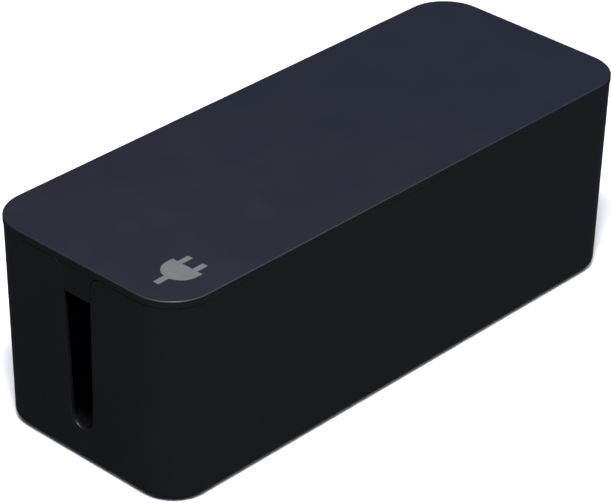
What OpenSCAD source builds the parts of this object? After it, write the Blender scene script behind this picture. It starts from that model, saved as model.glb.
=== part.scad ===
// Cable management box: a deep tub with a cable slot in each end, and a flat lid that lifts off.
// Millimetres, +Z up. The origin is on the ground, under the middle of the box.
// X runs along the box, and the cable slots are in the two X ends.

/* [Overall size] */
// Length of the lid, end to end
lid_l = 400; // [320:1:480]
// Width of the lid, front to back
lid_w = 155.5; // [130:0.5:190]
// Height from the ground to the top of the closed lid
box_h = 137.5; // [115:0.5:170]
// Radius of the lid's corners, seen from above
corner_r = 28; // [24:0.5:36]

/* [Tub] */
// Thickness of the tub's walls
wall = 3; // [2.6:0.1:4]
// Thickness of the tub's floor
floor_t = 3; // [2.5:0.1:4]
// Lean of the walls, which draw in towards the bottom, in degrees
draft = 1.3; // [0.5:0.1:1.8]
// Radius of the edge round the tub's bottom
bottom_r = 4; // [2:0.5:6]
// Radius of the corner between the floor and the walls, inside
inner_bottom_r = 3; // [1:0.5:5]
// Radius of the edges of the tub's rim and cable slots
edge_r = 0.8; // [0.5:0.1:1.2]

/* [Cable slots] */
// Width of each slot just above its round lower end
slot_w = 17.8; // [14:0.2:24]
// Height of each slot's lowest point above the ground
slot_z = 22.6; // [18:0.2:40]
// Lean of the slot's sides, which spread towards the top, in degrees
slot_lean = 1.4; // [0.8:0.1:2]
// Radius of the tub's corners where each slot opens through the rim
mouth_r = 10; // [8:0.5:12]

/* [Lid] */
// Height of the lid's rim, which stands on the tub's rim
lid_h = 4.6; // [4.2:0.1:6]
// Thickness of the lid's top
lid_t = 2.4; // [2:0.1:2.8]
// How far the lid's edge stands out past the tub's rim
overhang = 0.35; // [0.2:0.05:0.6]
// Radius of the lid's upper edge
lid_edge_r = 0.8; // [0.6:0.1:1.2]
// Radius of the lid's lower edge
lid_lower_edge_r = 0.4; // [0.3:0.1:0.6]
// Depth of the skirt that locates the lid inside the tub
skirt_h = 6; // [4:0.5:10]
// Thickness of the skirt
skirt_t = 2; // [1.6:0.1:2.4]
// Gap between the skirt and the tub's walls
skirt_gap = 0.5; // [0.4:0.1:0.8]
// Number of ribs along the lid's underside
long_ribs = 3; // [1:2:5]
// Height of the ribs
rib_h = 4.5; // [3:0.5:7]
// Thickness of the ribs
rib_t = 1.6; // [1.2:0.1:2]

/* [Lid tabs] */
// Depth of each tab below the lid's rim
tab_h = 19.2; // [14:0.2:24]
// Thickness of the tabs
tab_t = 2.4; // [2:0.1:2.6]
// Gap between each tab and the sides of its slot
tab_gap = 0.25; // [0.2:0.05:0.5]
// Radius of the tabs' outer edges
tab_edge_r = 0.4; // [0.3:0.1:0.8]

/* [Feet] */
// Diameter of each foot
foot_d = 16; // [12:1:22]
// How far the feet stand out below the tub
foot_h = 1.5; // [1:0.1:2.5]
// Depth of the seat that holds each foot
foot_seat = 1; // [0.6:0.1:1.4]
// Distance from the ends of the lid to the feet's centres
foot_inset_x = 42; // [38:1:60]
// Distance from the sides of the lid to the feet's centres
foot_inset_y = 30; // [28:1:40]

/* [Mark] */
// Length of the stamped plug sign
mark_l = 33; // [26:1:40]
// Distance from the lid's end to the sign
mark_inset_x = 16; // [14:1:24]
// Distance from the lid's side to the middle of the sign
mark_inset_y = 29; // [24:1:36]
// How deep the sign is stamped into the lid, which it lies flush with
mark_t = 0.1; // [0.1:0.05:0.2]

/* [Hidden] */
$fn = 96;
small_r = 1.5;                               // edges rounded less than this take few_steps
few_steps = 6;
more_steps = 12;

rim_z = box_h - lid_h;                       // where the lid meets the tub
tub_h = rim_z - foot_h;
centre_x = lid_l / 2 - corner_r;             // the corners' centres, shared by every rounded block
centre_y = lid_w / 2 - corner_r;
slope = tan(draft);
rim_r = corner_r - overhang;                 // corner radius of the tub at its rim
base_r = rim_r - tub_h * slope;              // and at its bottom, before the edge is rounded
end_x = centre_x + rim_r;                    // the tub's end face at the rim

floor_z = foot_h + floor_t;                  // top of the tub's floor
cavity_top = 1;                              // how far the cavity's cut runs past the rim
inner_base_r = rim_r - wall - (rim_z - floor_z) * slope;
inner_top_r = rim_r - wall + cavity_top * slope;

skirt_r = rim_r - wall - skirt_gap - skirt_h * slope;
pocket_r = skirt_r - skirt_t;                // inside the skirt
lid_under_z = box_h - lid_t;                 // underside of the lid's top
join = 0.6;                                  // how far pieces of one moulding or cut run into each other

slot_r = slot_w / 2;
slot_drop = (rim_z - slot_z - slot_r) / cos(draft);   // from the rim to the round end's centre
side_run = (slot_drop - mouth_r + (slot_r + mouth_r) * sin(slot_lean)) / cos(slot_lean);
mouth_y = (slot_r + mouth_r) * cos(slot_lean) + side_run * sin(slot_lean);   // where a slot's mouth ends
wall_depth = wall * cos(draft);
cut_past = 3;                                // how far a slot's cut runs past each face

tie_inset = 3;                               // from each side of a tab's foot to its gusset
tie_rise = 4;                                // from a tab's lower edge up to its gussets
foot_play = 0.2;                             // gap round each foot in its seat

tub_colour = [0.085, 0.09, 0.1];
lid_colour = [0.1, 0.105, 0.12];
mark_colour = [0.5, 0.5, 0.52];
foot_colour = [0.05, 0.05, 0.05];

// ---- Rounded profiles ----

function unit(v) = v / norm(v);

function angle_of(v) = atan2(v[1], v[0]);

// Points that round the corner p of an outline, which comes in along -u and goes out along v.
// They run anticlockwise, for a convex corner.
function rounded(p, u, v, r) =
    let(
        half = acos(u * v) / 2,
        c = p + unit(u + v) * r / sin(half),
        from = angle_of(p + u * r / tan(half) - c),
        sweep = 180 - 2 * half,
        steps = r < small_r ? few_steps : more_steps
    )
    r > 0 ? [for (i = [0 : steps]) let(a = from + sweep * i / steps) c + r * [cos(a), sin(a)]] : [p];

// Half of a block's section: from the corners' centre line out to a wall, with the wall's edges rounded
module block_profile(low_r, high_r, low_z, high_z, low_edge, high_edge) {
    low = [low_r, low_z];
    high = [high_r, high_z];
    up = unit(high - low);
    left = [-1, 0];
    polygon(concat(
        [[0, low_z]], rounded(low, left, up, low_edge),
        rounded(high, -up, left, high_edge), [[0, high_z]]
    ));
}

// A block with round corners, whose radius goes from low_r to high_r about centres that stay in place
module block(low_r, high_r, low_z, high_z, low_edge = 0, high_edge = 0) {
    for (turn = [0, 90, 180, 270]) {
        along = turn % 180 == 0;
        side = along ? centre_x : centre_y;
        half_run = along ? centre_y : centre_x;
        rotate(turn) translate([side, half_run, 0]) {
            rotate_extrude(angle = 90)
                block_profile(low_r, high_r, low_z, high_z, low_edge, high_edge);
            rotate([90, 0, 0]) linear_extrude(2 * half_run)
                block_profile(low_r, high_r, low_z, high_z, low_edge, high_edge);
        }
    }
    translate([-centre_x, -centre_y, low_z]) cube([2 * centre_x, 2 * centre_y, high_z - low_z]);
}

// ---- Cable slots ----

// Section of a cut through the wall, as distance and depth, with the wall's edges rounded.
// It reaches from far to edge, and the wall's material is on the other side of edge, towards side.
module cut_profile(far, edge, side) {
    round_centre = edge + side * edge_r;
    low = min(far, round_centre);
    width = abs(far - round_centre);
    difference() {
        translate([low, -wall_depth - cut_past]) square([width, wall_depth + 2 * cut_past]);
        translate([round_centre - edge_r, edge_r - wall_depth])
            square([2 * edge_r, wall_depth - 2 * edge_r]);
        for (depth = [-edge_r, edge_r - wall_depth])
            translate([round_centre, depth]) circle(edge_r);
    }
}

// Turns a section about the X axis from +Y towards +Z, through angle
module turn_up(angle) {
    rotate([0, 90, 0]) rotate(90) rotate_extrude(angle = angle) children();
}

// Puts what follows at the middle of the rim of the end wall at +X, square to the leaning wall
module at_end_wall() {
    translate([end_x, 0, rim_z]) rotate([0, draft, 0]) children();
}

// For each side of the slot: Y points out of it, and Z up along it from the centre of the round end
module along_slot_sides() {
    for (flip = [0, 1]) mirror([0, flip, 0])
        translate([0, 0, -slot_drop]) rotate([-slot_lean, 0, 0]) children();
}

// Sweeps a section round the corner where a slot's side meets the rim, in along_slot_sides()
module round_mouth_corner() {
    translate([0, slot_r + mouth_r, side_run]) mirror([0, 1, 0]) turn_up(90 - slot_lean) children();
}

// What one cable slot removes from the end wall at +X
module slot_cut() {
    at_end_wall() {
        along_slot_sides() {
            mirror([0, 0, 1]) turn_up(90) cut_profile(0, slot_r, 1);
            linear_extrude(side_run + join) mirror([1, -1]) cut_profile(-slot_r / 2, slot_r, 1);
            round_mouth_corner() cut_profile(2 * mouth_r, mouth_r, -1);
        }
        translate([-wall_depth - cut_past, -slot_r, -mouth_r])
            cube([wall_depth + 2 * cut_past, slot_w, 2 * mouth_r]);
    }
}

module both_ends() {
    for (flip = [0, 1]) mirror([flip, 0, 0]) children();
}

module tub() {
    color(tub_colour) difference() {
        block(base_r, rim_r, foot_h, rim_z, bottom_r, edge_r);
        block(inner_base_r, inner_top_r, floor_z, rim_z + cavity_top, inner_bottom_r);
        both_ends() slot_cut();
        for (x_side = [-1, 1], y_side = [-1, 1])
            at_foot(x_side, y_side) translate([0, 0, -foot_h])
                cylinder(r = foot_d / 2 + foot_play, h = 2 * foot_h + foot_seat);
    }
}

// ---- Lid ----

// What rounds a convex edge at the origin, whose material lies towards -X and -Y
module edge_sliver(r) {
    difference() {
        translate([-r, -r]) square(2 * r);
        translate([-r, -r]) circle(r);
    }
}

// Outline of a tab, seen square to the end face: the slot's mouth, less the gap all round
module tab_outline() {
    difference() {
        translate([-mouth_y, -tab_h]) square([2 * mouth_y, tab_h + join]);
        for (flip = [0, 1]) mirror([flip, 0]) translate([0, -slot_drop]) rotate(-slot_lean) {
            translate([slot_r + mouth_r, side_run]) circle(mouth_r + tab_gap);
            translate([slot_r - tab_gap, 0]) square([3 * mouth_r, side_run]);
        }
    }
}

// Rounds the outer edges of a tab
module tab_edges() {
    along_slot_sides() {
        translate([0, slot_r - tab_gap, 0]) linear_extrude(side_run) edge_sliver(tab_edge_r);
        round_mouth_corner() translate([mouth_r + tab_gap, 0]) mirror([1, 0]) edge_sliver(tab_edge_r);
    }
    translate([0, slot_w, -tab_h]) rotate([90, 0, 0])
        linear_extrude(2 * slot_w) mirror([0, 1]) edge_sliver(tab_edge_r);
}

// The tab at the +X end, flush with the tub's end face.
// A web and two gussets tie it to the skirt.
module tab() {
    tie_w = slot_w - 2 * tie_inset;
    skirt_x = centre_x + pocket_r + join;
    tab_back = end_x - tab_t + join;
    gusset_back = tab_back - tab_h * slope;
    gusset_z = tie_rise - tab_h;
    at_end_wall() difference() {
        translate([-tab_t, 0, 0]) rotate([90, 0, 90]) linear_extrude(tab_t) tab_outline();
        tab_edges();
    }
    translate([skirt_x, -tie_w / 2, rim_z - skirt_h])
        cube([tab_back - skirt_x, tie_w, skirt_h + join]);
    for (y = [-tie_w / 2, tie_w / 2 - rib_t])
        translate([0, y + rib_t, rim_z]) rotate([90, 0, 0]) linear_extrude(rib_t)
            polygon([
                [skirt_x, join - skirt_h], [tab_back, join - skirt_h],
                [gusset_back, gusset_z], [gusset_back - 2 * join, gusset_z]
            ]);
}

module lid_ribs() {
    along = 2 * (centre_x + pocket_r + join);
    pitch = 2 * (centre_y + pocket_r) / (long_ribs + 1);
    for (i = [1 : long_ribs])
        translate([-along / 2, i * pitch - centre_y - pocket_r - rib_t / 2, lid_under_z - rib_h])
            cube([along, rib_t, rib_h + join]);
}

module lid() {
    color(lid_colour) {
        difference() {
            union() {
                block(corner_r, corner_r, rim_z, box_h, lid_lower_edge_r, lid_edge_r);
                block(skirt_r, skirt_r, rim_z - skirt_h, rim_z + join, skirt_t / 3);
            }
            block(pocket_r, pocket_r, rim_z - 2 * skirt_h, lid_under_z);
            mark_shape(2 * mark_t);
        }
        lid_ribs();
        both_ends() tab();
    }
}

// A plug seen from the side: its lead, a body with a round back, and two pins
module plug_sign(length) {
    lead = length * 0.25;
    lead_w = length * 0.13;
    back_r = length * 0.36;
    front = length * 0.14;
    pin = length * 0.25;
    pin_w = length * 0.12;
    translate([0, -lead_w / 2]) square([lead + back_r, lead_w]);
    translate([lead + back_r, 0]) {
        intersection() {
            circle(back_r);
            translate([-2 * back_r, -2 * back_r]) square([2 * back_r, 4 * back_r]);
        }
        translate([0, -back_r]) square([front, 2 * back_r]);
        for (side = [-1, 1])
            translate([0, side * back_r / 2 - pin_w / 2]) square([front + pin, pin_w]);
    }
}

// The sign in its place on the lid, rising by height from the bottom of its stamped recess
module mark_shape(height) {
    translate([mark_inset_x - lid_l / 2, mark_inset_y - lid_w / 2, box_h - mark_t])
        linear_extrude(height) plug_sign(mark_l);
}

module lid_mark() {
    color(mark_colour) mark_shape(mark_t);
}

// ---- Feet ----

module at_foot(x_side, y_side) {
    translate([x_side * (lid_l / 2 - foot_inset_x), y_side * (lid_w / 2 - foot_inset_y), foot_h])
        children();
}

// A rubber disc, glued into its seat, with a rounded lower edge
module foot(x_side, y_side) {
    foot_r = foot_d / 2;
    color(foot_colour) at_foot(x_side, y_side) rotate_extrude()
        polygon(concat(
            [[0, -foot_h]], rounded([foot_r, -foot_h], [-1, 0], [0, 1], foot_h / 2),
            [[foot_r, foot_seat], [0, foot_seat]]
        ));
}

tub();
lid();
lid_mark();
foot(-1, -1);  // foot_front_left
foot(1, -1);  // foot_front_right
foot(-1, 1);  // foot_back_left
foot(1, 1);  // foot_back_right
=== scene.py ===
"""Looks of a cable management box: moulded black plastic on a pale studio floor.

Metres, in the frame of the CAD model: X along the box, Z up, the origin on the floor under its middle.
"""

import math

import bpy
from mathutils import Matrix, Quaternion, Vector


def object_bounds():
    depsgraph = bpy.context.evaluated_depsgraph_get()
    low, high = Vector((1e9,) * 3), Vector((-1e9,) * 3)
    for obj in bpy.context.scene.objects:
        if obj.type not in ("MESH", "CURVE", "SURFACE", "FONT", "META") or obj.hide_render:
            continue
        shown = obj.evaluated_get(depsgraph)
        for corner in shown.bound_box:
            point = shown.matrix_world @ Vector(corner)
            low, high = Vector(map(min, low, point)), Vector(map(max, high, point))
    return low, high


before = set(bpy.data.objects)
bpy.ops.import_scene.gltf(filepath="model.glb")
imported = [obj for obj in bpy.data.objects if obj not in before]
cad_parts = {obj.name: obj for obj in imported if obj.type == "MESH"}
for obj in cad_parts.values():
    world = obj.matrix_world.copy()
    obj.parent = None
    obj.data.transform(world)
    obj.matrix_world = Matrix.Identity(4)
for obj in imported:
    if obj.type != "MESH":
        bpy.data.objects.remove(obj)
cad_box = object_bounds()
low, high = (Vector(corner) for corner in cad_box)
middle = (low + high) / 2

# ---- Camera ----

CAMERA_AZIMUTH = math.radians(-46.96)   # 0 looks along +Y
CAMERA_ELEVATION = math.radians(31.06)
CAMERA_ROLL = math.radians(0.917)
CAMERA_DISTANCE = 1.9202
CAMERA_LENS = 184.9                     # mm
CAMERA_SENSOR = 36                      # mm
AIM_RIGHT = -0.00692                    # where the camera aims, from the middle of the box
AIM_UP = -0.00901


def direction(azimuth, elevation):
    """The unit vector from the middle of the box towards a point at that azimuth and elevation."""
    flat = math.cos(elevation)
    return Vector((math.sin(azimuth) * flat, -math.cos(azimuth) * flat, math.sin(elevation)))


def add_camera():
    """The camera at the photograph's angle."""
    back = direction(CAMERA_AZIMUTH, CAMERA_ELEVATION)
    right = (-back).cross(Vector((0, 0, 1))).normalized()
    up = right.cross(-back)
    aim = middle + right * AIM_RIGHT + up * AIM_UP
    turn = Matrix((right, up, back)).transposed() @ Matrix.Rotation(CAMERA_ROLL, 3, "Z")
    data = bpy.data.cameras.new("camera")
    data.sensor_width = CAMERA_SENSOR
    data.lens = CAMERA_LENS
    data.clip_end = 20
    camera = bpy.data.objects.new("camera", data)
    camera.matrix_world = Matrix.Translation(aim + back * CAMERA_DISTANCE) @ turn.to_4x4()
    bpy.context.scene.collection.objects.link(camera)
    bpy.context.scene.camera = camera


# ---- Materials ----

PLASTIC_DARK, PLASTIC_LIGHT = (0.0054, 0.0056, 0.0066), (0.006, 0.0062, 0.0074)
PLASTIC_IOR = 1.46
TUB_ROUGHNESS = (0.36, 0.44)
LID_ROUGHNESS = (0.34, 0.4)
MARK_DARK, MARK_LIGHT = (0.077, 0.077, 0.078), (0.089, 0.089, 0.09)
MARK_ROUGHNESS = (0.5, 0.6)
RUBBER_DARK, RUBBER_DUSTY = (0.012, 0.012, 0.012), (0.03, 0.029, 0.028)
RUBBER_IOR = 1.5
RUBBER_ROUGHNESS = (0.7, 0.9)


class Shader:
    """A material's node tree, built up one node at a time around a Principled shader."""

    def __init__(self, name):
        self.material = bpy.data.materials.new(name)
        self.material.use_nodes = True
        self.tree = self.material.node_tree
        self.surface = self.tree.nodes["Principled BSDF"]
        self.place = self.node("ShaderNodeTexCoord").outputs["Object"]

    def node(self, kind, **settings):
        made = self.tree.nodes.new(kind)
        for key, value in settings.items():
            if key in made.inputs:
                made.inputs[key].default_value = value
            else:
                setattr(made, key, value)
        return made

    def link(self, output, socket):
        self.tree.links.new(output, socket)

    def set(self, **sockets):
        for key, value in sockets.items():
            self.surface.inputs[key.replace("_", " ")].default_value = value

    def noise(self, size, detail=2.0, roughness=0.5):
        """A noise texture whose features are about size metres across; its value runs from 0 to 1."""
        made = self.node("ShaderNodeTexNoise")
        made.inputs["Scale"].default_value = 1 / size
        made.inputs["Detail"].default_value = detail
        made.inputs["Roughness"].default_value = roughness
        self.link(self.place, made.inputs["Vector"])
        return made.outputs["Fac"]

    def cells(self, size):
        """A texture of cells about size metres across, whose value grows from each cell's middle."""
        made = self.node("ShaderNodeTexVoronoi", feature="SMOOTH_F1")
        made.inputs["Scale"].default_value = 1 / size
        made.inputs["Smoothness"].default_value = 0.5
        self.link(self.place, made.inputs["Vector"])
        return made.outputs["Distance"]

    def number(self, value, start, end, first, last):
        """Maps value, from start to end, to a number from first to last."""
        made = self.node("ShaderNodeMapRange")
        for socket, limit in (("From Min", start), ("From Max", end), ("To Min", first), ("To Max", last)):
            made.inputs[socket].default_value = limit
        self.link(value, made.inputs["Value"])
        return made.outputs["Result"]

    def colour(self, value, start, end, first, last):
        """Maps value, from start to end, to a colour from first to last."""
        made = self.node("ShaderNodeValToRGB")
        for element, position, shade in zip(made.color_ramp.elements, (start, end), (first, last)):
            element.position = position
            element.color = (*shade, 1)
        self.link(value, made.inputs["Fac"])
        return made.outputs["Color"]

    def bump(self, height, depth, below=None):
        """Relief of depth metres from a height between 0 and 1, on top of what is below it."""
        made = self.node("ShaderNodeBump")
        made.inputs["Strength"].default_value = 1
        made.inputs["Distance"].default_value = depth
        self.link(height, made.inputs["Height"])
        if below is not None:
            self.link(below, made.inputs["Normal"])
        return made.outputs["Normal"]


def moulded_plastic(name, roughness):
    """Black plastic from a spark-eroded mould: a fine even grain, and soft changes of sheen."""
    shader = Shader(name)
    shader.set(IOR=PLASTIC_IOR, Specular_IOR_Level=0.5)
    drift = shader.noise(0.09, detail=3)
    tint = shader.colour(drift, 0.35, 0.65, PLASTIC_DARK, PLASTIC_LIGHT)
    shader.link(tint, shader.surface.inputs["Base Color"])
    sheen = shader.noise(0.03, detail=4, roughness=0.6)
    shader.link(shader.number(sheen, 0.3, 0.7, *roughness), shader.surface.inputs["Roughness"])
    grain = shader.bump(shader.cells(0.0005), 0.00001)
    grain = shader.bump(shader.noise(0.0011, detail=3), 0.000012, below=grain)
    shader.link(grain, shader.surface.inputs["Normal"])
    return shader.material


def mark_ink():
    """Satin grey foil, stamped flush into the lid and a little rougher than its plastic."""
    shader = Shader("mark_ink")
    shader.set(IOR=PLASTIC_IOR, Specular_IOR_Level=0.5)
    drift = shader.noise(0.004, detail=4)
    tint = shader.colour(drift, 0.3, 0.7, MARK_DARK, MARK_LIGHT)
    shader.link(tint, shader.surface.inputs["Base Color"])
    shader.link(shader.number(drift, 0.3, 0.7, *MARK_ROUGHNESS), shader.surface.inputs["Roughness"])
    shader.link(shader.bump(shader.noise(0.0008, detail=3), 0.000008), shader.surface.inputs["Normal"])
    return shader.material


def foot_rubber():
    """Matt black rubber with a dusty bloom."""
    shader = Shader("foot_rubber")
    shader.set(IOR=RUBBER_IOR, Specular_IOR_Level=0.3)
    bloom = shader.noise(0.003, detail=5, roughness=0.7)
    tint = shader.colour(bloom, 0.3, 0.75, RUBBER_DARK, RUBBER_DUSTY)
    shader.link(tint, shader.surface.inputs["Base Color"])
    shader.link(shader.number(bloom, 0.3, 0.7, *RUBBER_ROUGHNESS), shader.surface.inputs["Roughness"])
    shader.link(shader.bump(shader.noise(0.0006, detail=4), 0.00004), shader.surface.inputs["Normal"])
    return shader.material


def paint(node, material):
    """Gives a CAD node its finish."""
    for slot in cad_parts[node].material_slots:
        slot.material = material


def finish_box():
    """Gives every piece of the box its material."""
    paint("tub", moulded_plastic("tub_plastic", TUB_ROUGHNESS))
    paint("lid", moulded_plastic("lid_plastic", LID_ROUGHNESS))
    paint("lid_mark", mark_ink())
    rubber = foot_rubber()
    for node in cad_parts:
        if node.startswith("foot_"):
            paint(node, rubber)


# ---- Studio ----

# Azimuths and elevations are in degrees, seen from the middle of the box.

FLOOR_RADIUS = 5.0
FLOOR_GREY = 0.75
SWEEP_RADIUS = 2.0                      # of the curve from the floor up to the wall
WALL_TOP = 4.0

OVERHEAD_AZIMUTH, OVERHEAD_ELEVATION = -30, 78
OVERHEAD_DISTANCE, OVERHEAD_SIZE = 1.8, 2.6
OVERHEAD_TURN = -47                     # degrees about Z, in line with the camera
OVERHEAD_RADIANCE = 3.0
KEY_AZIMUTH, KEY_ELEVATION = -49, 64.5
KEY_DISTANCE, KEY_SIZE = 2.2, 0.22
KEY_RADIANCE = 300.0
SIDE_AZIMUTH, SIDE_ELEVATION = 50, 36   # lights the lid's edge along the front
SIDE_DISTANCE, SIDE_SIZE = 2.2, 0.8
SIDE_RADIANCE = 2.3
SIDE_COLOUR = (0.85, 0.92, 1)

ROOM = (0.036, 0.039, 0.053)            # what the box mirrors of the dim room
BACKDROP = (0.06, 0.09, 0.225)          # and of a bluish backdrop, which the lid mirrors
BACKDROP_AZIMUTH, BACKDROP_ELEVATION = 133, 31
BACKDROP_BLEND = (0.35, 0.8)            # cosine of the angle from the middle of the backdrop
LIGHTER_AZIMUTH = 20
LIGHTER_BLEND = (-0.7, 0.7)             # cosine of the angle from the middle of the lighter side
ROOM_SIDES = (1.0, 1.7)                 # brightness of the darker side and of the lighter side


def studio_floor():
    """A plain pale floor that curves up into a wall all round, and doesn't mirror in the box."""
    turns, curve_steps = 96, 16
    outline = [(0.5, 0), (2, 0), (FLOOR_RADIUS, 0)]
    for i in range(1, curve_steps + 1):
        angle = math.pi / 2 * i / curve_steps
        radius = FLOOR_RADIUS + SWEEP_RADIUS * math.sin(angle)
        outline.append((radius, SWEEP_RADIUS * (1 - math.cos(angle))))
    outline.append((FLOOR_RADIUS + SWEEP_RADIUS, WALL_TOP))
    points, faces = [(0, 0, 0)], []
    for radius, height in outline:
        for turn in range(turns):
            angle = 2 * math.pi * turn / turns
            points.append((radius * math.cos(angle), radius * math.sin(angle), height))
    for turn in range(turns):
        after = (turn + 1) % turns
        faces.append((0, 1 + turn, 1 + after))
        for ring in range(len(outline) - 1):
            inner, outer = 1 + ring * turns, 1 + (ring + 1) * turns
            faces.append((inner + turn, outer + turn, outer + after, inner + after))
    mesh = bpy.data.meshes.new("floor")
    mesh.from_pydata(points, [], faces)
    mesh.polygons.foreach_set("use_smooth", [True] * len(faces))
    floor = bpy.data.objects.new("floor", mesh)
    bpy.context.scene.collection.objects.link(floor)
    shader = Shader("floor_paper")
    shader.set(Base_Color=(FLOOR_GREY, FLOOR_GREY, FLOOR_GREY, 1), Roughness=0.9, Specular_IOR_Level=0.1)
    mesh.materials.append(shader.material)
    floor.visible_glossy = False


def softbox(name, azimuth, elevation, distance, size, radiance, colour=(1, 1, 1), turn=None):
    """A square soft light. It faces the middle of the box, or straight down if turn is given."""
    data = bpy.data.lights.new(name, "AREA")
    data.shape = "RECTANGLE"
    data.size = size
    data.size_y = size
    data.energy = radiance * math.pi * size * size
    data.color = colour
    light = bpy.data.objects.new(name, data)
    towards = direction(math.radians(azimuth), math.radians(elevation))
    light.location = middle + towards * distance
    turned = towards.to_track_quat("Z", "Y") if turn is None else Quaternion((0, 0, 1), math.radians(turn))
    light.rotation_euler = turned.to_euler()
    bpy.context.scene.collection.objects.link(light)


def studio_world():
    """The dim room beyond the softboxes, a little lighter on one side, with its bluish backdrop."""
    world = bpy.data.worlds.new("studio")
    bpy.context.scene.world = world
    world.use_nodes = True
    tree = world.node_tree

    def along(axis, start, end, first, last):
        """A number from first to last, as the cosine of the angle to axis goes from start to end."""
        cosine = tree.nodes.new("ShaderNodeVectorMath")
        cosine.operation = "DOT_PRODUCT"
        cosine.inputs[1].default_value = axis
        tree.links.new(place, cosine.inputs[0])
        ramp = tree.nodes.new("ShaderNodeMapRange")
        for socket, limit in (("From Min", start), ("From Max", end), ("To Min", first), ("To Max", last)):
            ramp.inputs[socket].default_value = limit
        tree.links.new(cosine.outputs["Value"], ramp.inputs["Value"])
        return ramp.outputs["Result"]

    place = tree.nodes.new("ShaderNodeTexCoord").outputs["Generated"]
    shade = tree.nodes.new("ShaderNodeMix")
    shade.data_type = "RGBA"
    colours = [socket for socket in shade.inputs if socket.type == "RGBA"]
    colours[0].default_value = (*ROOM, 1)
    colours[1].default_value = (*BACKDROP, 1)
    backdrop = direction(math.radians(BACKDROP_AZIMUTH), math.radians(BACKDROP_ELEVATION))
    tree.links.new(along(backdrop, *BACKDROP_BLEND, 0, 1), shade.inputs["Factor"])
    background = tree.nodes["Background"]
    blended = next(socket for socket in shade.outputs if socket.type == "RGBA")
    tree.links.new(blended, background.inputs["Color"])
    lighter_side = direction(math.radians(LIGHTER_AZIMUTH), 0)
    tree.links.new(along(lighter_side, *LIGHTER_BLEND, *ROOM_SIDES), background.inputs["Strength"])


def studio_lights():
    """Three soft lights and the room, with colours shown as they are."""
    softbox("overhead_light", OVERHEAD_AZIMUTH, OVERHEAD_ELEVATION, OVERHEAD_DISTANCE,
            OVERHEAD_SIZE, OVERHEAD_RADIANCE, turn=OVERHEAD_TURN)
    softbox("key_light", KEY_AZIMUTH, KEY_ELEVATION, KEY_DISTANCE, KEY_SIZE, KEY_RADIANCE)
    softbox("side_light", SIDE_AZIMUTH, SIDE_ELEVATION, SIDE_DISTANCE,
            SIDE_SIZE, SIDE_RADIANCE, SIDE_COLOUR)
    studio_world()
    bpy.context.scene.view_settings.view_transform = "Standard"


add_camera()
finish_box()
studio_floor()
studio_lights()
